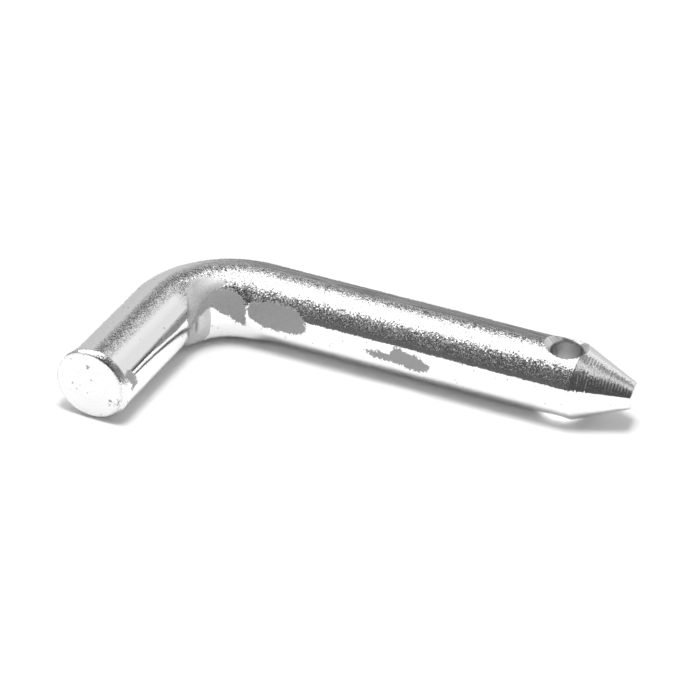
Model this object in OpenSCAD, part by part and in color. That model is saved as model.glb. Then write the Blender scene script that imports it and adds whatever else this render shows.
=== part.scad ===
// Bent clevis pin: one length of round steel bar, cut, bent cold once and
// turned to a point at its far end, with a countersunk cross hole for a clip.
//
// It lies flat. The long shank runs along X with its point towards +X, and the
// short leg that stops it and pulls it out runs towards -Y. The origin is where
// the shank's axis meets the axis of the cross hole, and +Z runs up that hole.

/* [Bar] */
// Diameter of the round bar
bar_d = 16; // [12:0.5:20]

/* [Shank] */
// From the end of the bend to the axis of the cross hole
grip_len = 66.7; // [45:0.1:120]
// From the axis of the cross hole to the shoulder of the point
shoulder_len = 3.5; // [0:0.1:12]

/* [Point] */
// Length of the turned point, from its shoulder to its end face
point_len = 11.6; // [8:0.1:25]
// Diameter of the flat end of the point, before its edge is rounded
point_end_d = 5.4; // [3:0.1:8]
// Radius that rounds the edge of the flat end
point_edge_r = 0.5; // [0.2:0.05:1]

/* [Cross hole] */
// Diameter of the cross hole
hole_d = 6.7; // [4:0.1:7.5]
// How far each countersink opens beyond the wall of the hole
countersink_w = 1.35; // [0.4:0.05:2]
// Angle between the two sides of a countersink
countersink_angle = 90; // [60:1:120]

/* [Bend] */
// Radius on the inside of the bend
bend_inner_r = 9.3; // [8.5:0.1:20]
// How far the bar is turned, a little short of square where it sprang back
bend_angle = 88; // [75:1:100]
// How much the bar's diameter draws down round the bend
bend_thinning = 0.04; // [0.02:0.01:0.2]

/* [Leg] */
// Straight length of the leg, from the end of the bend to its cut face
leg_len = 28; // [12:0.5:60]
// Width of the chamfer round the cut face
leg_chamfer = 1.4; // [0.5:0.1:3]

/* [Former mark] */
// Radius of the former that the bar was bent around
former_r = 6.5; // [4:0.1:8]
// How far the former sank into the inside of the bend
former_depth = 0.35; // [0.1:0.05:0.6]
// Where the mark lies round the bend, as an angle from the shank's end of it
former_angle = 62; // [35:1:65]
// How far the former leaned, which sets its mark above the middle of the bar
former_tilt = 28; // [0:1:40]
// Radius of the swelling that the former pushed out below its mark
swell_r = 6; // [4:0.1:7.5]
// How far the swelling stands out from the bar
swell_height = 0.45; // [0.1:0.05:0.8]
// How far the swelling is turned down from level
swell_tilt = 36; // [20:1:60]

/* [Clamp marks] */
// Radius of the jaw that pressed the flats on the side of the shank
clamp_r = 60; // [30:1:120]
// Width of the jaw along the shank
clamp_w = 14; // [10:0.5:16]
// Depth of each flat at its middle
clamp_depth = 0.35; // [0.1:0.05:0.6]
// From the end of the bend to the middle of the flat beside it
near_clamp_pos = 4.6; // [4:0.1:10]
// How far the flat beside the bend is turned up from level
near_clamp_tilt = 15; // [-30:1:40]
// From the end of the bend to the middle of the flat halfway along the shank
far_clamp_pos = 33.5; // [22:0.1:36]
// How far the flat halfway along the shank is turned up from level
far_clamp_tilt = -2; // [-30:1:40]

/* [Hidden] */

// Facets of a full circle on the bar, and on the wide jaw
$fn = 96;
clamp_facets = 360;
// How far a cutting shape runs past the surface that it cuts
run_out = 1;
// How far the full bar runs on round each end of the bend
bend_lap = 0.3;

bar_r = bar_d / 2;
bend_r = bend_inner_r + bar_r;
bend_x = -grip_len;
shoulder_x = shoulder_len;
tip_x = shoulder_x + point_len;

// Slope of the point's side against the axis of the shank
point_end_r = point_end_d / 2;
point_slope = atan2(bar_r - point_end_r, point_len);

// A countersink is a cone that reaches its rim at the top of the bar
hole_r = hole_d / 2;
countersink_slope = tan(countersink_angle / 2);
countersink_rim_r = hole_r + countersink_w;
countersink_depth = countersink_w / countersink_slope;

// The arc that rounds the edge of the point's flat end touches the sloping side
// and the end face, which turn through this angle where they meet
edge_turn = 90 - point_slope;
edge_steps = 6;
edge_centre = [tip_x - point_edge_r, point_end_r - point_edge_r * tan(edge_turn / 2)];
edge_arc = [
    for (i = [0 : edge_steps])
        let (a = point_slope + edge_turn * i / edge_steps)
        edge_centre + point_edge_r * [sin(a), cos(a)]
];

// Half outline of the straight shank, drawn as [along the axis, out from it]
module shank_outline() {
    polygon(concat(
        [[bend_x - bend_lap, 0], [bend_x - bend_lap, bar_r], [shoulder_x, bar_r]],
        edge_arc,
        [[tip_x, 0]]
    ));
}

// The shank and its point are turned about the X axis
module shank() {
    rotate([0, 90, 0])
        rotate_extrude()
            rotate([0, 0, 90])
                mirror([0, 1])
                    shank_outline();
}

// The former bites into the inside of the bend as a round post that leans over it
module former_mark() {
    rotate([0, 0, former_angle])
        translate([bend_r, 0, 0])
            rotate([0, former_tilt, 0])
                translate([former_depth - bar_r - former_r, 0, 0])
                    cylinder(r = former_r, h = bar_d + 2 * run_out, center = true);
}

// The steel that the former pushed aside swells out as part of a ball below its mark
module swelling() {
    rotate([0, 0, former_angle])
        translate([bend_r, 0, 0])
            rotate([0, -swell_tilt, 0])
                translate([swell_r - bar_r - swell_height, 0, 0])
                    sphere(r = swell_r);
}

// The bend sweeps the drawn-down section from the shank round to the leg
module bend() {
    translate([bend_x, -bend_r, 0])
        rotate([0, 0, 90])
            difference() {
                union() {
                    rotate_extrude(angle = bend_angle)
                        translate([bend_r, 0]) circle(d = bar_d - bend_thinning);
                    swelling();
                }
                former_mark();
            }
}

// The leg runs on from the bend and ends in a chamfered face
module leg() {
    translate([bend_x, -bend_r, 0])
        rotate([0, 0, 90 + bend_angle])
            translate([bend_r, 0, 0])
                rotate([-90, 0, 0]) {
                    translate([0, 0, -bend_lap])
                        cylinder(r = bar_r, h = bend_lap + leg_len - leg_chamfer);
                    translate([0, 0, leg_len - leg_chamfer])
                        cylinder(r1 = bar_r, r2 = bar_r - leg_chamfer, h = leg_chamfer);
                }
}

// One countersink, opening upwards at the top of the bar
module countersink() {
    run_out_w = run_out * countersink_slope;
    translate([0, 0, bar_r - countersink_depth])
        cylinder(r1 = hole_r, r2 = countersink_rim_r + run_out_w, h = countersink_depth + run_out);
}

// The cross hole goes straight through and is countersunk on both sides
module cross_hole() {
    cylinder(r = hole_r, h = bar_d + 2 * run_out, center = true);
    countersink();
    mirror([0, 0, 1]) countersink();
}

// The crowned face of a jaw that lies across the shank leaves a shallow oval flat
module clamp_mark(pos, tilt) {
    translate([bend_x + pos, 0, 0])
        rotate([-tilt, 0, 0])
            intersection() {
                translate([0, clamp_depth - bar_r - clamp_r, 0])
                    cylinder(r = clamp_r, h = bar_d, center = true, $fn = clamp_facets);
                translate([0, -bar_r, 0])
                    cube([clamp_w, 2 * run_out, bar_d + 2 * run_out], center = true);
            }
}

module pin() {
    color([0.80, 0.81, 0.82])
        difference() {
            union() {
                shank();
                bend();
                leg();
            }
            cross_hole();
            clamp_mark(near_clamp_pos, near_clamp_tilt);
            clamp_mark(far_clamp_pos, far_clamp_tilt);
        }
}

pin();
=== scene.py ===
import math

import bpy
import numpy as np
from mathutils import Matrix, Vector


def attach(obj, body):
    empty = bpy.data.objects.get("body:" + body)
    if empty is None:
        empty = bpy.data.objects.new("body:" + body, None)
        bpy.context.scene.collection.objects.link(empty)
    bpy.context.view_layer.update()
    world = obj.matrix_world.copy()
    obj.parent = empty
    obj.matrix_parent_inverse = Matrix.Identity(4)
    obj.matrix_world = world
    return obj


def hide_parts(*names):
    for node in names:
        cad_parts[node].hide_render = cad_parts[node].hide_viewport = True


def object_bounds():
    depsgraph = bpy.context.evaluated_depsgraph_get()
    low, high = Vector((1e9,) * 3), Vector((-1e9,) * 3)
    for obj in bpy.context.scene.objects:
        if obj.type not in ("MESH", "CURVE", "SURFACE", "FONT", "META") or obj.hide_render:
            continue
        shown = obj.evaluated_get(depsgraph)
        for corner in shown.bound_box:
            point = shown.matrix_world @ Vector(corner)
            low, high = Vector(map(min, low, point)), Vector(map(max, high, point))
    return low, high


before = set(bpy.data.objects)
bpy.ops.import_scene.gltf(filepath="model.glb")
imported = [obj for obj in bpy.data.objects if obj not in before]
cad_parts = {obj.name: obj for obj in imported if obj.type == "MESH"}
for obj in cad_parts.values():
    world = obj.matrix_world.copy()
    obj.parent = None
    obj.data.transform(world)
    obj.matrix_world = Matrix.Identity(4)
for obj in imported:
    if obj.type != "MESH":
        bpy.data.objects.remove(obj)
cad_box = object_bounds()


# The bar: one length of 16 mm round steel, bent cold once round a former. A place on it is told by
# how far along its middle line it lies, in millimetres from the cross hole towards the point, and by
# how far round, as an angle from the inside of the bend over the top.
MM = 0.001
BAR_R = 8.0
GRIP_LEN = 66.7
BEND_R = 17.3
BEND_ANGLE = math.radians(88)
LEG_LEN = 28.0
RING_STEP = 0.36
SEGMENTS = 144

BEND_LEN = BEND_R * BEND_ANGLE
LEG_START = -GRIP_LEN - BEND_LEN
LEG_END = LEG_START - LEG_LEN


def on_bar(along, around, radius):
    """Points at these places, this far out from the bar's middle line."""
    turn = np.clip((-GRIP_LEN - along) / BEND_R, 0, BEND_ANGLE)
    level = np.zeros_like(turn)
    inside = np.stack([np.sin(turn), -np.cos(turn), level], -1)
    onward = np.stack([np.cos(turn), np.sin(turn), level], -1)
    straight = np.where(along > -GRIP_LEN, along + GRIP_LEN, np.minimum(along - LEG_START, 0))
    bend_centre = np.array([-GRIP_LEN, -BEND_R, 0])
    middle = bend_centre - inside * BEND_R + onward * straight[..., None]
    out = inside * np.cos(around)[..., None] + np.array([0, 0, 1]) * np.sin(around)[..., None]
    return middle + out * radius[..., None]


def evenly(start, end, step):
    """Values from start up to end, without end, about a step apart."""
    return np.linspace(start, end, max(1, round(abs(end - start) / step)), endpoint=False)


def at_turn(degrees):
    """The place along the bar this far round the bend from its shank end."""
    return -GRIP_LEN - BEND_R * math.radians(degrees)


# Its leg ends in a sawn and faced end with a chamfer round it, which was ground by hand and is slight
# on the outer side. Plating has softened both edges of the chamfer.
CHAMFER = 0.85
CHAMFER_LEN = 1.35
CHAMFER_LEAST = 0.25
CHAMFER_WIDEST = math.radians(-15)
CHAMFER_WIDE_TO = math.radians(70)
CHAMFER_SLIGHT_FROM = math.radians(150)
CHAMFER_EDGE_R = 0.35
EDGE_TURN_STEP = 0.15
FACE_STEP = 0.33

face_r = BAR_R - CHAMFER
chamfer_turn = math.atan2(CHAMFER_LEN, CHAMFER)
edge_in = CHAMFER_EDGE_R * math.tan(chamfer_turn / 2)
side_in = CHAMFER_EDGE_R * math.tan((math.pi / 2 - chamfer_turn) / 2)
side_start = LEG_END + CHAMFER_LEN + side_in
profile = [(LEG_END, r) for r in evenly(0, face_r - edge_in, FACE_STEP)]
for a in evenly(0, chamfer_turn, EDGE_TURN_STEP):
    place = LEG_END + CHAMFER_EDGE_R * (1 - math.cos(a))
    profile.append((place, face_r - edge_in + CHAMFER_EDGE_R * math.sin(a)))
for a in evenly(chamfer_turn, math.pi / 2, EDGE_TURN_STEP):
    place = side_start - CHAMFER_EDGE_R * math.cos(a)
    profile.append((place, BAR_R - CHAMFER_EDGE_R * (1 - math.sin(a))))
profile += [(place, BAR_R) for place in evenly(side_start, 0, RING_STEP)]


# The point is turned on the shank's far end, so that the pin finds its hole. The tool's feed left a
# ridge every 0.6 mm down its side, partly worn off, and its small flat end is rounded over.
SHOULDER = 3.5
POINT_LEN = 11.6
POINT_END_R = 2.7
POINT_EDGE_R = 0.5
POINT_EDGE_STEPS = 8
POINT_STEP = 0.1
RIDGE_PITCH = 0.6
RIDGE_HEIGHT = 0.03
RIDGES_START = (0.2, 1.2)
RIDGES_END = (0.5, 1.2)
RIDGE_WEAR = (-0.35, 0.45)
RIDGE_WEAR_WIDTH = 0.9
RIDGE_WEAR_STRETCH = (1, 0.7, 0.7)
RIDGE_WAVER = 0.12
RIDGE_WAVER_WIDTH = 3.0

tip = SHOULDER + POINT_LEN
point_slope = math.atan2(BAR_R - POINT_END_R, POINT_LEN)
edge_turn = math.pi / 2 - point_slope
edge_centre = (tip - POINT_EDGE_R, POINT_END_R - POINT_EDGE_R * math.tan(edge_turn / 2))
edge_start = edge_centre[0] + POINT_EDGE_R * math.sin(point_slope)


def point_radius(along):
    """How thick the shank is there, point and all."""
    return BAR_R - np.maximum(along - SHOULDER, 0) * math.tan(point_slope)


profile += [(place, BAR_R) for place in evenly(0, SHOULDER, RING_STEP)]
profile += [(place, point_radius(place)) for place in evenly(SHOULDER, edge_start, POINT_STEP)]
for step in range(POINT_EDGE_STEPS + 1):
    a = point_slope + edge_turn * step / POINT_EDGE_STEPS
    place = edge_centre[0] + POINT_EDGE_R * math.sin(a)
    profile.append((place, edge_centre[1] + POINT_EDGE_R * math.cos(a)))
profile += [(tip, r) for r in evenly(edge_centre[1], 0, FACE_STEP)[1:]]
profile.append((tip, 0.0))
profile = np.array(profile)


# The marks of its making: the jaws that held the bar left two shallow flats on the shank's side, and
# drawing the bar left it very slightly uneven all over. The former bit into the inside of the bend,
# dimpled it and pushed out a swelling below, which has a nearly flat side and a blunt lower edge.
JAW_R = 60.0
JAW_DEPTH = 0.35
JAW_FACING = 0.5
NEAR_JAW = (4.6 - GRIP_LEN, math.radians(15))
FAR_JAW = (33.5 - GRIP_LEN, math.radians(-2))
WAVE_HEIGHT = 0.02
WAVE_WIDTH = 7.0
RIPPLE_HEIGHT = 0.006
RIPPLE_WIDTH = 1.9
BITE_START = at_turn(92)
BITE_CURVE = BEND_R * math.radians(17)
BITE_CURVE_TURN = math.radians(44)
BITE_DEPTH = 0.16
BITE_EDGE = 0.7
BITE_FADE = (9.0, 0.5)
BITE_LOWER = (-0.35, 0)
BITE_UPPER = (1.2, 0.9)
SWELL_HEIGHT = 0.8
SWELL_TURN = math.radians(-19)
SWELL_FACET = math.radians(-40)
SWELL_LOWER = (math.radians(-80), math.radians(-54))
SWELL_START = (at_turn(-16), at_turn(5))
SWELL_END = (at_turn(86), at_turn(66))
DIMPLE_DEPTH = 0.4
DIMPLE_R = 2.8
DIMPLE_AT = (at_turn(68), math.radians(-4))
AXIS_FADE = 0.6
# Each use of the noise lies at a place of its own
RIPPLE_SHIFT = 40
WEAR_SHIFT = 90
WAVER_SHIFT = 20


class Lumps:
    """Smooth seeded noise between -1 and 1, told by a place in millimetres."""

    SIZE = 32

    def __init__(self, seed):
        self.values = np.random.default_rng(seed).uniform(-1, 1, (self.SIZE,) * 3)

    def at(self, place, width):
        """The noise at a place, with lumps this wide."""
        cell = np.floor(place / width).astype(int)
        part = place / width - cell
        part = part * part * (3 - 2 * part)
        total = 0
        for corner in np.ndindex(2, 2, 2):
            share = np.prod(np.where(corner, part, 1 - part), axis=-1)
            x, y, z = np.moveaxis((cell + corner) % self.SIZE, -1, 0)
            total = total + share * self.values[x, y, z]
        return total


def fade(low, high, value):
    """Rises smoothly from 0 at low to 1 at high, which may be the smaller of the two."""
    t = np.clip((value - low) / (high - low), 0, 1)
    return t * t * (3 - 2 * t)


def within_half_turn(angle):
    """The same angle, between minus and plus half a turn."""
    return (angle + math.pi) % (2 * math.pi) - math.pi


def former_edge(around):
    """Where along the bar the former's sharp edge bit in, which curves over the top of the bend."""
    return BITE_START + BITE_CURVE * (around / BITE_CURVE_TURN) ** 2


def jaw_flat(jaw, along, around):
    """How far the crowned jaw pressed the bar in, on the side that faces it."""
    reach = BAR_R - JAW_DEPTH + (along - jaw[0]) ** 2 / (2 * JAW_R)
    facing = np.cos(around - jaw[1])
    pressed = np.where(facing > JAW_FACING, reach / np.maximum(facing, JAW_FACING) - BAR_R, 0)
    return np.minimum(pressed, 0)


def relief(along, around, radius):
    """How far the skin stands proud of the true round bar."""
    straightened = np.stack([along, radius * np.cos(around), radius * np.sin(around)], -1)
    height = WAVE_HEIGHT * lumps.at(straightened, WAVE_WIDTH)
    height += RIPPLE_HEIGHT * lumps.at(straightened + RIPPLE_SHIFT, RIPPLE_WIDTH)
    height += jaw_flat(NEAR_JAW, along, around) + jaw_flat(FAR_JAW, along, around)

    from_inside = within_half_turn(around)
    past_edge = along - former_edge(from_inside)
    bite = fade(0, BITE_EDGE, past_edge) * fade(*BITE_FADE, past_edge)
    bite = bite * fade(*BITE_LOWER, from_inside) * fade(*BITE_UPPER, from_inside)
    height -= BITE_DEPTH * bite

    swell = BAR_R / np.cos(np.clip(from_inside - SWELL_TURN, SWELL_FACET, 0)) - BAR_R
    swell = np.minimum(swell, SWELL_HEIGHT) * fade(*SWELL_LOWER, from_inside)
    height += swell * fade(*SWELL_START, along) * fade(*SWELL_END, along)

    off_dimple = np.hypot(along - DIMPLE_AT[0], BAR_R * (from_inside - DIMPLE_AT[1]))
    height -= DIMPLE_DEPTH * fade(DIMPLE_R, 0, off_dimple)

    worn_place = straightened * RIDGE_WEAR_STRETCH + WEAR_SHIFT
    unworn = fade(*RIDGE_WEAR, lumps.at(worn_place, RIDGE_WEAR_WIDTH))
    on_point = fade(*RIDGES_START, along - SHOULDER) * fade(*RIDGES_END, tip - along)
    wave = along + RIDGE_WAVER * lumps.at(straightened + WAVER_SHIFT, RIDGE_WAVER_WIDTH)
    height += RIDGE_HEIGHT * on_point * unworn * np.sin(wave * 2 * math.pi / RIDGE_PITCH)
    return height * fade(0, AXIS_FADE, radius)


lumps = Lumps(5)


# The grain of the skin: pickling left the steel finely pitted. It is finer on the inside, where the bar
# ran on rolls, and on the back, where it was drawn, and coarser where the bend stretched it.
SMOOTH_TURN = math.radians(30)
SHANK_GRAIN = (math.radians(19), math.radians(31))
SHANK_LEAST = 0.14
LEG_GRAIN = (math.radians(56), math.radians(66))
LEG_LEAST = 0.06
BACK_GRAIN = (math.radians(84), math.radians(94))
LEG_FROM = (LEG_START + 4, LEG_START - 1)
STRETCH_START = (at_turn(-25), at_turn(5))
STRETCH_END = (at_turn(62), at_turn(38))
TURNED_FROM = (SHOULDER - 0.3, SHOULDER + 0.3)
BACK_LOSS = 0.75
STRETCH_GAIN = 0.25
TURNED_LOSS = 0.5


def grain_left(along, around):
    """How coarse the grain is at a place on the bar."""
    off_rolled = np.abs(within_half_turn(around) + SMOOTH_TURN) - SMOOTH_TURN
    on_leg = fade(*LEG_FROM, along)
    back = fade(*BACK_GRAIN, off_rolled)
    shank_share = SHANK_LEAST + (1 - SHANK_LEAST) * fade(*SHANK_GRAIN, off_rolled)
    leg_share = LEG_LEAST + (1 - LEG_LEAST) * fade(*LEG_GRAIN, off_rolled)
    stretched = fade(*STRETCH_START, along) * fade(*STRETCH_END, along)
    turned = fade(*TURNED_FROM, along)
    share = shank_share + (leg_share - shank_share) * on_leg
    return share * (1 + STRETCH_GAIN * stretched) * (1 - TURNED_LOSS * turned) * (1 - BACK_LOSS * back)


# The pin is one closed skin. Its rings of points run from the middle of the leg's end face over the
# chamfer, round the bend and on to the middle of the tip, each with notes for the finish.
ON_FACE = 0.01
CHAMFER_GRAIN = 0.6

points = []
notes = []
faces = []


def add_points(places, along, around, out, grain, rim=0):
    """Adds points with their notes: the place on the bar, the grain, and if they lie on the rim."""
    first = sum(len(p) for p in points)
    points.append(places.reshape(-1, 3))
    notes.append(np.stack(np.broadcast_arrays(along, around, out, grain, rim), -1).reshape(-1, 5))
    return first + np.arange(places[..., 0].size).reshape(places.shape[:-1])


def add_strip(row, other):
    """Joins two closed rows of as many points with a band of four-sided faces."""
    faces.extend(np.stack([row, np.roll(row, -1), np.roll(other, -1), other], -1).tolist())


turns = np.arange(SEGMENTS) * 2 * math.pi / SEGMENTS
stations = profile[1:-1]
slopes = np.gradient(profile, axis=0)[1:-1]
slopes /= np.linalg.norm(slopes, axis=1)[:, None]
along, around = np.meshgrid(stations[:, 0], turns, indexing="ij")
radius = np.broadcast_to(stations[:, 1:], along.shape)
height = relief(along, around, radius)
out_share, along_share = slopes[:, :1], -slopes[:, 1:]

on_end_face = (along < LEG_END + ON_FACE) & (radius < face_r - edge_in)
on_chamfer = (along < LEG_END + CHAMFER_LEN + side_in / 2) & ~on_end_face
on_rim = on_chamfer & (stations[:, :1] < LEG_END + CHAMFER_EDGE_R / 4)
from_widest = np.abs(within_half_turn(around - CHAMFER_WIDEST))
share = CHAMFER_LEAST + (1 - CHAMFER_LEAST) * fade(CHAMFER_SLIGHT_FROM, CHAMFER_WIDE_TO, from_widest)
uneven_face_r = BAR_R - (BAR_R - face_r + edge_in) * share
radius = np.where(on_chamfer, BAR_R - (BAR_R - radius) * share, radius)
radius = np.where(on_end_face, radius * uneven_face_r / (face_r - edge_in), radius)
along = np.where(on_chamfer, LEG_END + (along - LEG_END) * share, along)
grain = np.select([on_end_face, on_chamfer], [0, CHAMFER_GRAIN], grain_left(along, around))
skin_places = on_bar(along + height * along_share, around, radius + height * out_share)
grid = add_points(skin_places, along, around, radius, grain, on_rim)

for (place, _), ring in ((profile[0], grid[0]), (profile[-1], grid[-1, ::-1])):
    place = np.array([place])
    pole = add_points(on_bar(place, np.zeros(1), np.zeros(1)), place, 0, 0, 0)[0]
    faces.extend([pole, a, b] for a, b in zip(ring, np.roll(ring, -1)))


# The cross hole takes a spring clip. It is drilled straight through and countersunk on both sides. The
# skin has a window round each mouth, and closed rows of points lead from its edge to the soft rim,
# down the countersink and through the hole.
HOLE_R = 3.35
SINK_W = 1.35
WINDOW = (-6.3, 5.3)
WINDOW_TURN = math.radians(50)
SKIN_RINGS = 9
RIM_OUT = 0.09
RIM_IN = 0.06
RELIEF_FADE = 0.8
SINK_RINGS = 4
SINK_FOOT = 0.12
MOUTH_OUT = 0.07
MOUTH_IN = 0.05
BORE_RINGS = 30
BORE_WAVER = 0.012
BORE_WAVER_PACE = 3
BORE_SHIFT = 60
HALVINGS = 30

sink_top = BAR_R - SINK_W


def skin_height(x, y):
    """Height of the round skin over a place in plan."""
    return np.sqrt(np.maximum(point_radius(x) ** 2 - y ** 2, 0))


def rim_radius(angle):
    """Where the countersink meets the skin, in this direction from the hole's axis."""
    low, high = np.full_like(angle, HOLE_R), np.full_like(angle, HOLE_R + SINK_W)
    for _ in range(HALVINGS):
        middle = (low + high) / 2
        above = skin_height(middle * np.cos(angle), middle * np.sin(angle)) > sink_top + middle - HOLE_R
        low, high = np.where(above, middle, low), np.where(above, high, middle)
    return low


first_ring, last_ring = np.searchsorted(stations[:, 0], WINDOW)
window_steps = round(WINDOW_TURN / (turns[1] - turns[0]))
quarter = SEGMENTS // 4
for ring in range(len(stations) - 1):
    here, onward = grid[ring], grid[ring + 1]
    for segment in range(SEGMENTS):
        beside = (segment + 1) % SEGMENTS
        off_top = abs(segment + 0.5 - quarter)
        off_bottom = abs(segment + 0.5 - 3 * quarter)
        if first_ring <= ring < last_ring and min(off_top, off_bottom) < window_steps:
            continue
        faces.append([here[segment], onward[segment], onward[beside], here[beside]])

bore_ends = []
for side in (1, -1):
    middle = quarter if side == 1 else 3 * quarter
    low, high = middle - window_steps, middle + window_steps
    edge = [(ring, high) for ring in range(last_ring, first_ring, -1)]
    edge += [(first_ring, segment) for segment in range(high, low, -1)]
    edge += [(ring, low) for ring in range(first_ring, last_ring)]
    edge += [(last_ring, segment) for segment in range(low, high)]
    edge_rings, edge_turns = np.array(edge).T
    row = grid[edge_rings, edge_turns]
    start_x, start_y = np.concatenate(points)[row][:, :2].T
    angle = np.arctan2(start_y, start_x)
    rim = rim_radius(angle)
    start_r = np.hypot(start_x, start_y)
    radii = [start_r + (rim - start_r) * k / SKIN_RINGS for k in range(1, SKIN_RINGS)]
    radii += [rim + RIM_OUT, rim - RIM_IN]
    radii += [rim - RIM_IN + (HOLE_R + SINK_FOOT - rim) * k / SINK_RINGS for k in range(1, SINK_RINGS)]
    radii += [np.full_like(rim, HOLE_R + MOUTH_OUT)]
    for r in radii:
        x, y = r * np.cos(angle), r * np.sin(angle)
        turn = np.arctan2(side * skin_height(x, y), -y)
        skin = skin_height(x, y) + relief(x, turn, point_radius(x)) * fade(0, RELIEF_FADE, r - rim)
        z = side * np.where(r > rim, skin, np.minimum(skin, sink_top + r - HOLE_R))
        on_skin = r > rim
        places = np.stack([x, y, z], -1)
        other = add_points(places, x, turn, np.where(on_skin, BAR_R, 0), on_skin * grain_left(x, turn))
        add_strip(row, other)
        row = other
    bore_ends.append((row, angle))

(row, angle), (last_row, last_angle) = bore_ends
for z in np.linspace(sink_top - MOUTH_IN, -sink_top + MOUTH_IN, BORE_RINGS):
    waver = lumps.at(np.array([0, 0, BORE_SHIFT + BORE_WAVER_PACE * z]), 1.0)
    wall_r = HOLE_R + BORE_WAVER * waver
    x, y = wall_r * np.cos(angle), wall_r * np.sin(angle)
    other = add_points(np.stack([x, y, np.full_like(x, z)], -1), x, math.pi / 2, 0, 0)
    add_strip(row, other)
    row = other
matched = [np.argmin(np.abs(np.angle(np.exp(1j * (last_angle - a))))) for a in angle]
add_strip(row, last_row[matched])

mesh = bpy.data.meshes.new("bent_pin")
mesh.from_pydata((np.concatenate(points) * MM).tolist(), [], [[int(n) for n in face] for face in faces])
mesh.validate()
mesh.shade_smooth()
bent_pin = bpy.data.objects.new("bent_pin", mesh)
bpy.context.collection.objects.link(bent_pin)


# The rubs and cuts on the pin. Where the bar rubbed in the bending machine it is dull and grey, the
# former burnished it, and the end face is nicked. An outline's corners are told by the place along
# the bend, shank or leg and by degrees round from the inside.
def along_shank(mm):
    """The place this far along the shank from the end of the bend."""
    return mm - GRIP_LEN


def along_leg(mm):
    """The place this far along the leg from the end of the bend."""
    return LEG_START - mm


rubs = {
    "beside_former": (at_turn, [
        (85, 6), (77, 13), (69, 23), (63, 30), (54, 37), (49, 40), (42, 43), (33, 44), (26, 41),
        (18, 35), (11, 28), (7, 20), (5, 10), (6, 0), (5, -15), (13, -13), (18, -10), (23, -4),
        (29, 1), (37, 5), (43, 10), (45, 14), (50, 28), (52, 28), (51, 18), (57, 15), (69, 10),
        (79, 2),
    ]),
    "near_jaw": (along_shank, [
        (-0.6, 24), (2.1, 31), (3.8, 34), (6, 35), (7.9, 34), (9.8, 31), (11.4, 23), (12.5, 13),
        (12.7, 3), (11.8, -4), (9.5, -9), (5.9, -10), (3.1, -8), (0.9, -2), (-0.4, 3), (-0.9, 9),
        (-1.2, 17),
    ]),
    "far_jaw": (along_shank, [
        (25.9, -3), (26.6, 0), (29.5, 1), (30.8, 0), (31.6, 5), (32.3, 16), (33.5, 15), (34.6, 10),
        (36.9, 10), (38.2, 6), (40.5, -3), (39.6, -13), (38.3, -18), (36.5, -19), (34.5, -16),
        (31.7, -13), (27.9, -12), (26.4, -6),
    ]),
    "leg_scuff": (along_leg, [
        (25.4, 32), (24.4, 30), (23.5, 20), (23.4, 10), (22.8, 3), (24.4, 2), (25.2, -4), (25.8, 4),
        (25.4, 10), (26.2, 18), (26.6, 28),
    ]),
}
burnish = (at_turn, [
    (89, -2), (88.5, 18), (84, 30), (74, 47), (66, 60), (59, 67), (52, 68), (44, 64), (36, 61),
    (29, 50), (40, 42), (54, 30), (51, 11), (50, -36), (62, -50), (84, -40), (92, -20),
])
# Each nick is told by how far from the middle of the leg's end face it lies, by degrees round the
# face, and by how wide it reaches
nicks = [
    (4.4, 96, 0.22), (4.2, -174, 0.18), (1.4, 80, 0.2), (4.7, -27, 0.16), (5.2, -38, 0.25),
    (6.1, -25, 0.38), (6.5, -16, 0.3),
]

BORE_TOP = sink_top + 0.08
SINK_CUT = 0.45
DRAWN_BACK = (math.radians(78), math.radians(90))

all_points = np.concatenate(points)
all_along, all_around, all_out, all_grain, all_rim = np.concatenate(notes).T
unrolled = np.stack([all_along, BAR_R * np.cos(all_around), BAR_R * np.sin(all_around)], -1)


def outlined(rub):
    """How far inside an outline the mesh's points lie, in millimetres; outside it is negative."""
    place_of, outline = rub
    corners = np.array([(place_of(place), BAR_R * math.radians(angle)) for place, angle in outline])
    spot = np.stack([all_along, BAR_R * within_half_turn(all_around)], -1)
    nearest = np.full(all_along.shape, np.inf)
    crossings = np.zeros(all_along.shape, bool)
    for a, b in zip(corners, np.roll(corners, -1, axis=0)):
        share = np.clip(((spot - a) @ (b - a)) / ((b - a) @ (b - a)), 0, 1)
        off_side = np.linalg.norm(spot - a - share[..., None] * (b - a), axis=-1)
        nearest = np.minimum(nearest, off_side)
        spans = (a[1] > spot[..., 1]) != (b[1] > spot[..., 1])
        rise = np.where(b[1] == a[1], 1, b[1] - a[1])
        crossings ^= spans & (spot[..., 0] < a[0] + (spot[..., 1] - a[1]) / rise * (b[0] - a[0]))
    return np.where(crossings, nearest, -nearest)


def keep_on_skin(name, values):
    """Stores one number for each point of the mesh, for the finish to read."""
    mesh.attributes.new(name, "FLOAT", "POINT").data.foreach_set("value", values)


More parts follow.
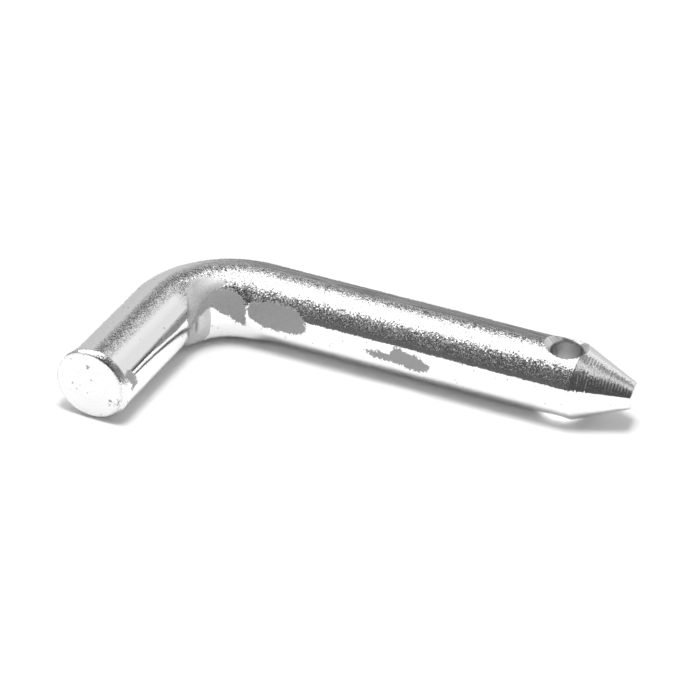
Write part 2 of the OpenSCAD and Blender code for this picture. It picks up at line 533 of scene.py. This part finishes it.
dull = [outlined(rub) for rub in rubs.values()]
for out, turn, size in nicks:
    middle = on_bar(np.array(LEG_END), np.array(math.radians(turn)), np.array(out))
    dull.append(size - np.linalg.norm(all_points - middle, axis=1))
in_hole = (all_out == 0) & (np.abs(all_along) < BAR_R)
on_shank = fade(LEG_START, -GRIP_LEN, all_along) * fade(SHOULDER + 0.5, SHOULDER, all_along)
keep_on_skin("dull", np.max(dull, axis=0))
keep_on_skin("burnished", outlined(burnish))
keep_on_skin("grain", all_grain)
keep_on_skin("rim", all_rim)
keep_on_skin("sawn", (all_along < LEG_END + ON_FACE) | (all_along > tip - POINT_EDGE_R / 2))
keep_on_skin("bored", in_hole * np.where(np.abs(all_points[:, 2]) < BORE_TOP, 1, SINK_CUT))
keep_on_skin("drawn", fade(*DRAWN_BACK, np.abs(within_half_turn(all_around))) * on_shank)
keep_on_skin("out", all_out)
on_skin = mesh.attributes.new("unrolled", "FLOAT_VECTOR", "POINT")
on_skin.data.foreach_set("vector", (unrolled * MM).ravel())


# The finish: a thin bright zinc plate that follows the grain of the steel and glints like small
# crystals. It shows the lines of drawing on the back, the tool's rings on the sawn ends and in the
# hole, and a few pits, and it is dull and grey where the bar was rubbed. Where the former burnished
# it, the tone has painted light on its upper part and painted shade on its lower part.
CRYSTAL_WIDTH = 0.3
CRYSTAL_TILT = 0.19
GRAIN_WIDTH = 0.36
GRAIN_DEPTH = 0.035
SPECKLE_WIDTH = 0.25
SPECKLE_FADE = (0.38, 0.62)
MATT_WIDTH = 0.26
MATT_FADE = (0.5, 0.62)
RAGGED_WIDTH = 0.5
DULL_RAGGED = 2.6
DULL_FADE = (-0.08, 0.1)
DULL_SMOOTHING = 0.9
BURNISH_RAGGED = 0.5
BURNISH_FADE = (-0.05, 0.1)
# Painted light on the burnished mark rises over this height, from just under the bar's middle up
PAINTED_LIGHT_RISE = (-0.5 * MM, 4.5 * MM)
LINE_WIDTH = 0.3
LINE_FADE = (0.42, 0.62)
LINE_SHORTENING = (0.05, 1, 1)
PIT_SPACING = 2.2
PIT_FADE = (0.06, 0.13)
PIT_SHARE = 0.8
RIM_FADE = (-0.12, 0.05)
FACE_RINGS_PER_MM = 2.2
FACE_RING_FADE = (0.5, 0.72)
BORE_RINGS_PER_MM = 2.5
BORE_RING_FADE = (0.35, 0.65)

BRIGHT = 0.95
SPECKLED = 0.55
DRAWN = 0.54
SAWN = 0.85
SAWN_RING = 0.64
RIM = 0.60
PIT = 0.40
BORED = 0.80
BORED_RING = 0.52
# The burnished mark's tones are painted light and painted shade: lighter on its upper part, darker
# below
BURNISHED_PAINTED_LIT = 0.90
BURNISHED_PAINTED_LIT_SPECK = 0.74
BURNISHED_PAINTED_SHADE = 0.62
BURNISHED_PAINTED_SHADE_SPECK = 0.54
DULL = 0.30
DULL_GRAIN = 0.44

POLISHED_ROUGHNESS = 0.05
MATT_ROUGHNESS = 0.46
BURNISHED_ROUGHER = 0.36
DULL_ROUGHER = 0.5
BORED_ROUGHER = 0.4
DULL_LESS_METALLIC = 0.75


class Shade:
    """One output on its way through a shader. Sums with it add the Math nodes that they need."""

    def __init__(self, tree, output=None):
        self.tree = tree
        self.output = output

    def node(self, kind, settings=None, inputs=None, out=0):
        """Adds a node, sets it up, fills its sockets and gives back one of its outputs."""
        made = self.tree.nodes.new(kind)
        for name, value in (settings or {}).items():
            if name == "stops":
                stops = made.color_ramp.elements
                stops.remove(stops[-1])
                for number, (place, tone) in enumerate(value):
                    stop = stops.new(place) if number else stops[0]
                    stop.position = place
                    stop.color = grey(tone)
            else:
                setattr(made, name, value)
        for name, value in (inputs or {}).items():
            if isinstance(value, Shade):
                self.tree.links.new(value.output, made.inputs[name])
            else:
                made.inputs[name].default_value = value
        return Shade(self.tree, made.outputs[out] if made.outputs else None)

    def sum(self, operation, *terms):
        """The result of a Math node."""
        return self.node("ShaderNodeMath", {"operation": operation}, dict(enumerate(terms)))

    def __add__(self, other):
        return self.sum("ADD", self, other)

    __radd__ = __add__

    def __sub__(self, other):
        return self.sum("SUBTRACT", self, other)

    def __rsub__(self, other):
        return self.sum("SUBTRACT", other, self)

    def __mul__(self, other):
        return self.sum("MULTIPLY", self, other)

    __rmul__ = __mul__

    def fade(self, low, high):
        """Rises smoothly from 0 where this is low to 1 where it is high."""
        smooth = {"interpolation_type": "SMOOTHSTEP"}
        return self.node("ShaderNodeMapRange", smooth, {0: self, 1: low, 2: high})

    def blend(self, low, high):
        """A number from low, where this is 0, to high, where it is 1."""
        return self * (high - low) + low


def empty_tree(owner):
    """A material's or a world's node tree, emptied for its own nodes."""
    owner.use_nodes = True
    owner.node_tree.nodes.clear()
    return Shade(owner.node_tree)


def grey(tone):
    """A plain grey, where 1 is white."""
    return tone, tone, tone, 1


def tint(tree, share, low, high):
    """A grey that goes from one tone to another, each a number or an output."""
    low, high = (end if isinstance(end, Shade) else grey(end) for end in (low, high))
    sockets = {"Factor": share, "A": low, "B": high}
    return tree.node("ShaderNodeMix", {"data_type": "RGBA"}, sockets, out="Result")


def noise(tree, place, width, detail=1.0, rough=0.5):
    """Noise with lumps about this many millimetres wide."""
    sockets = {"Vector": place, "Scale": 1 / (width * MM), "Detail": detail, "Roughness": rough}
    return tree.node("ShaderNodeTexNoise", {}, sockets)


def banded(tree, distance, rough):
    """Noise that changes with one distance only, about once for each whole number."""
    sockets = {"W": distance, "Detail": 2.0, "Roughness": rough}
    return tree.node("ShaderNodeTexNoise", {"noise_dimensions": "1D"}, sockets)


def cells(tree, place, width, out):
    """Cells about this many millimetres wide, told by distance from their middles or by colour."""
    return tree.node("ShaderNodeTexVoronoi", {}, {"Vector": place, "Scale": 1 / (width * MM)}, out)


def vector(tree, operation, inputs):
    """The result of a Vector Math node."""
    return tree.node("ShaderNodeVectorMath", {"operation": operation}, inputs)


zinc = bpy.data.materials.new("zinc_plate")
tree = empty_tree(zinc)
place = tree.node("ShaderNodeTexCoord", out="Object")
dull, burnished, grain_share, rim, sawn, bored, drawn, out = (
    tree.node("ShaderNodeAttribute", {"attribute_name": name}, out="Fac")
    for name in ("dull", "burnished", "grain", "rim", "sawn", "bored", "drawn", "out")
)
unrolled = tree.node("ShaderNodeAttribute", {"attribute_name": "unrolled"}, out="Vector")
# Painted light: the burnished mark turns lighter towards the top of the bar
painted_top_light = tree.node("ShaderNodeSeparateXYZ", {}, {0: unrolled}, out="Z").fade(*PAINTED_LIGHT_RISE)
height = tree.node("ShaderNodeSeparateXYZ", {}, {0: place}, out="Z")

ragged = noise(tree, place, RAGGED_WIDTH, 3.0, 0.6) - 0.5
dull = (dull + ragged * DULL_RAGGED).fade(*DULL_FADE)
burnished = (burnished + ragged * BURNISH_RAGGED).fade(*BURNISH_FADE) * (1 - dull)
grain_share = grain_share * (1 - dull * DULL_SMOOTHING) * (1 - burnished)
grain = noise(tree, place, GRAIN_WIDTH)
speckle = noise(tree, place, SPECKLE_WIDTH).fade(*SPECKLE_FADE)
matt = noise(tree, place, MATT_WIDTH).fade(*MATT_FADE) * grain_share
lines = vector(tree, "MULTIPLY", {0: unrolled, 1: LINE_SHORTENING})
lines = noise(tree, lines, LINE_WIDTH, 2.0, 0.6).fade(*LINE_FADE)
pits = 1 - cells(tree, place, PIT_SPACING, "Distance").fade(*PIT_FADE)
face_rings = banded(tree, out * FACE_RINGS_PER_MM, 0.7).fade(*FACE_RING_FADE)
bore_rings = banded(tree, height * (BORE_RINGS_PER_MM / MM), 0.6).fade(*BORE_RING_FADE)

tone = tint(tree, speckle * grain_share, BRIGHT, SPECKLED)
tone = tint(tree, lines * drawn, tone, DRAWN)
tone = tint(tree, sawn, tone, tint(tree, face_rings, SAWN, SAWN_RING))
tone = tint(tree, rim * ragged.fade(*RIM_FADE), tone, RIM)
tone = tint(tree, pits * PIT_SHARE, tone, PIT)
tone = tint(tree, bored, tone, tint(tree, bore_rings, BORED, BORED_RING))
# The burnished mark's painted shading, lighter above and darker below, plain and speckled
burnished_plain_painted_shading = tint(tree, painted_top_light, BURNISHED_PAINTED_SHADE, BURNISHED_PAINTED_LIT)
burnished_speck_painted_shading = tint(tree, painted_top_light, BURNISHED_PAINTED_SHADE_SPECK, BURNISHED_PAINTED_LIT_SPECK)
tone = tint(tree, burnished, tone, tint(tree, speckle, burnished_plain_painted_shading, burnished_speck_painted_shading))
tone = tint(tree, dull, tone, tint(tree, grain, DULL, DULL_GRAIN))

bump = tree.node(
    "ShaderNodeBump", {},
    {"Strength": 1.0, "Distance": GRAIN_DEPTH * MM, "Height": grain * grain_share},
)
crystals = cells(tree, place, CRYSTAL_WIDTH, "Color")
tilt = vector(tree, "SUBTRACT", {0: crystals, 1: (0.5, 0.5, 0.5)})
tilt = vector(tree, "SCALE", {0: tilt, "Scale": grain_share * CRYSTAL_TILT})
facing = vector(tree, "NORMALIZE", {0: vector(tree, "ADD", {0: bump, 1: tilt})})
roughness = matt.blend(POLISHED_ROUGHNESS, MATT_ROUGHNESS) + burnished * BURNISHED_ROUGHER
roughness = roughness + dull * DULL_ROUGHER + bored * BORED_ROUGHER
skin = tree.node("ShaderNodeBsdfPrincipled", {}, {
    "Base Color": tone,
    "Metallic": 1 - dull * DULL_LESS_METALLIC,
    "Roughness": roughness,
    "Normal": facing,
})
tree.node("ShaderNodeOutputMaterial", {}, {"Surface": skin})
mesh.materials.append(zinc)

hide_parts("pin")
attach(bent_pin, "root")


# The table: a plain white sheet that the pin lies on. It keeps the pin's shadow, ends not far in front
# of the pin and behind it, and runs out in plain white where the camera sees it from far off.
TABLE_SIDE = 4.0
TABLE_FRONT = -0.38
TABLE_BACK = 0.24
TABLE_TONE = 0.9
TABLE_ROUGHNESS = 0.9
TABLE_GLOW = 0.03
NEAR_THE_PIN = 0.10
FAR_OFF = 0.30

low, high = cad_box
corners = [
    (-TABLE_SIDE, TABLE_FRONT, low.z), (TABLE_SIDE, TABLE_FRONT, low.z),
    (TABLE_SIDE, TABLE_BACK, low.z), (-TABLE_SIDE, TABLE_BACK, low.z),
]
table_mesh = bpy.data.meshes.new("table")
table_mesh.from_pydata(corners, [], [[0, 1, 2, 3]])
table = bpy.data.objects.new("table", table_mesh)
bpy.context.collection.objects.link(table)
paper = bpy.data.materials.new("paper")
tree = empty_tree(paper)
place = tree.node("ShaderNodeTexCoord", out="Object")
to_camera = tree.node("ShaderNodeLightPath", out="Is Camera Ray")
middle = tuple((low + high) / 2)
from_pin = tree.node(
    "ShaderNodeVectorMath", {"operation": "DISTANCE"}, {0: place, 1: middle}, out="Value",
)
far_off = (from_pin - NEAR_THE_PIN) * (1 / (FAR_OFF - NEAR_THE_PIN)) * to_camera
glow = tint(tree, far_off.fade(0, 1), tint(tree, to_camera, 0, TABLE_GLOW), 1)
sheet = tree.node("ShaderNodeBsdfPrincipled", {}, {
    "Base Color": grey(TABLE_TONE),
    "Roughness": TABLE_ROUGHNESS,
    "Specular IOR Level": 0.0,
    "Emission Color": glow,
    "Emission Strength": 1.0,
})
tree.node("ShaderNodeOutputMaterial", {}, {"Surface": sheet})
table_mesh.materials.append(paper)


# The light: a wide soft box overhead that the metal mirrors, and a round lamp above the pin that only
# throws its soft shadow. A weak one stands for the light that goes down the cross hole and comes off
# its bright wall on to the table.
BOX_HEIGHT = 0.5
BOX_X = (-0.70, 0.05)
BOX_Y = (-0.25, 0.25)
BOX_POWER = 1.65
KEY_LEAN = (math.radians(3), math.radians(6.5))
KEY_OVER = Vector((-0.035, -0.015, 0))
KEY_DISTANCE = 1.2
KEY_SIZE = 0.46
KEY_POWER = 9.6
SPOT_POWER = 0.0003


def add_lamp(name, shape, size, power, in_metal):
    """An area lamp that the camera doesn't see, and that shows in the metal or doesn't."""
    lamp = bpy.data.lights.new(name, "AREA")
    lamp.shape = shape
    lamp.size = size
    lamp.energy = power
    placed = bpy.data.objects.new(name, lamp)
    placed.visible_camera = False
    placed.visible_glossy = in_metal
    bpy.context.collection.objects.link(placed)
    return placed


softbox = add_lamp("softbox", "RECTANGLE", BOX_X[1] - BOX_X[0], BOX_POWER, True)
softbox.data.size_y = BOX_Y[1] - BOX_Y[0]
softbox.location = (sum(BOX_X) / 2, sum(BOX_Y) / 2, BOX_HEIGHT)

overhead = add_lamp("overhead_lamp", "DISK", KEY_SIZE, KEY_POWER, False)
way = Vector((math.tan(KEY_LEAN[0]), -math.tan(KEY_LEAN[1]), 1)).normalized()
overhead.location = KEY_OVER + way * KEY_DISTANCE
overhead.rotation_mode = "QUATERNION"
overhead.rotation_quaternion = way.to_track_quat("Z", "Y")

spot = add_lamp("light_down_the_hole", "DISK", 2 * HOLE_R * MM, SPOT_POWER, False)
spot.location = (0, 0, -sink_top * MM)


# The studio round about, which the metal mirrors too, is dark in front of the pin and pale at its
# left and behind it. Each list goes once round it, as degrees from +X and a tone. The camera sees
# plain white in its place.
SKIRTING_TOP = (math.sin(math.radians(22)), math.sin(math.radians(30)))
WALLS_TOP = (math.sin(math.radians(43)), math.sin(math.radians(50)))
skirting_tones = [
    (-180, 0.40), (-140, 0.24), (-119, 0.17), (-95, 0.08), (-45, 0.08), (-12, 0.34), (15, 0.60),
    (40, 0.80), (66, 0.80), (84, 0.66), (97, 0.58), (103, 0.33), (113, 0.33), (119, 0.66),
    (140, 0.58), (180, 0.40),
]
wall_tones = [
    (-180, 0.40), (-152, 0.60), (-146, 0.90), (-131, 0.90), (-123, 0.18), (-117, 0.17), (-95, 0.08),
    (-45, 0.08), (-12, 0.34), (15, 0.60), (40, 0.80), (66, 0.90), (90, 0.88), (94, 0.24), (104, 0.26),
    (110, 0.34), (114, 0.36), (119, 0.66), (140, 0.58), (180, 0.40),
]
ceiling_tones = [
    (-180, 0.30), (-152, 0.60), (-146, 0.90), (-134, 0.90), (-124, 0.16), (-60, 0.09), (-35, 0.16),
    (-22, 0.75), (0, 0.80), (20, 0.55), (36, 0.34), (58, 0.25), (68, 0.30), (80, 0.48), (88, 0.42),
    (94, 0.12), (105, 0.10), (115, 0.14), (125, 0.18), (180, 0.30),
]

world = bpy.data.worlds.new("studio")
bpy.context.scene.world = world
tree = empty_tree(world)
direction = tree.node("ShaderNodeTexCoord", out="Generated")
x, y, z = (tree.node("ShaderNodeSeparateXYZ", {}, {0: direction}, out=axis) for axis in "XYZ")
round_about = tree.sum("ARCTAN2", y, x) * (0.5 / math.pi) + 0.5


def once_round(tones):
    """A grey that follows a list of tones round the pin."""
    stops = [(degrees / 360 + 0.5, tone) for degrees, tone in tones]
    return tree.node("ShaderNodeValToRGB", {"stops": stops}, {0: round_about})


skirting, walls, ceiling = (once_round(tones) for tones in (skirting_tones, wall_tones, ceiling_tones))
room = tint(tree, z.fade(*SKIRTING_TOP), skirting, walls)
room = tint(tree, z.fade(*WALLS_TOP), room, ceiling)
seen = tint(tree, tree.node("ShaderNodeLightPath", out="Is Camera Ray"), room, 1)
background = tree.node("ShaderNodeBackground", {}, {"Color": seen, "Strength": 1.0})
tree.node("ShaderNodeOutputWorld", {}, {"Surface": background})
bpy.context.scene.view_settings.view_transform = "Standard"


# The camera looks down on the pin from in front and a little to its right, from well back. Its place
# and its lens are those that the outlines of the bar in the photo gave.
TARGET = Vector((-43.288, -9.768, 0)) * MM
DISTANCE = 638.7 * MM
AZIMUTH, ELEVATION, ROLL = (math.radians(a) for a in (21.69, 33.344, 2.36))
LENS = 160.16

back = Vector((
    math.sin(AZIMUTH) * math.cos(ELEVATION),
    -math.cos(AZIMUTH) * math.cos(ELEVATION),
    math.sin(ELEVATION),
))
level = Vector((math.cos(AZIMUTH), math.sin(AZIMUTH), 0))
upright = back.cross(level)
right = level * math.cos(ROLL) + upright * math.sin(ROLL)
up = back.cross(right)
camera_data = bpy.data.cameras.new("camera")
camera_data.lens = LENS
camera = bpy.data.objects.new("camera", camera_data)
facing = Matrix((right, up, back)).transposed().to_4x4()
camera.matrix_world = Matrix.Translation(TARGET + back * DISTANCE) @ facing
bpy.context.collection.objects.link(camera)
bpy.context.scene.camera = camera
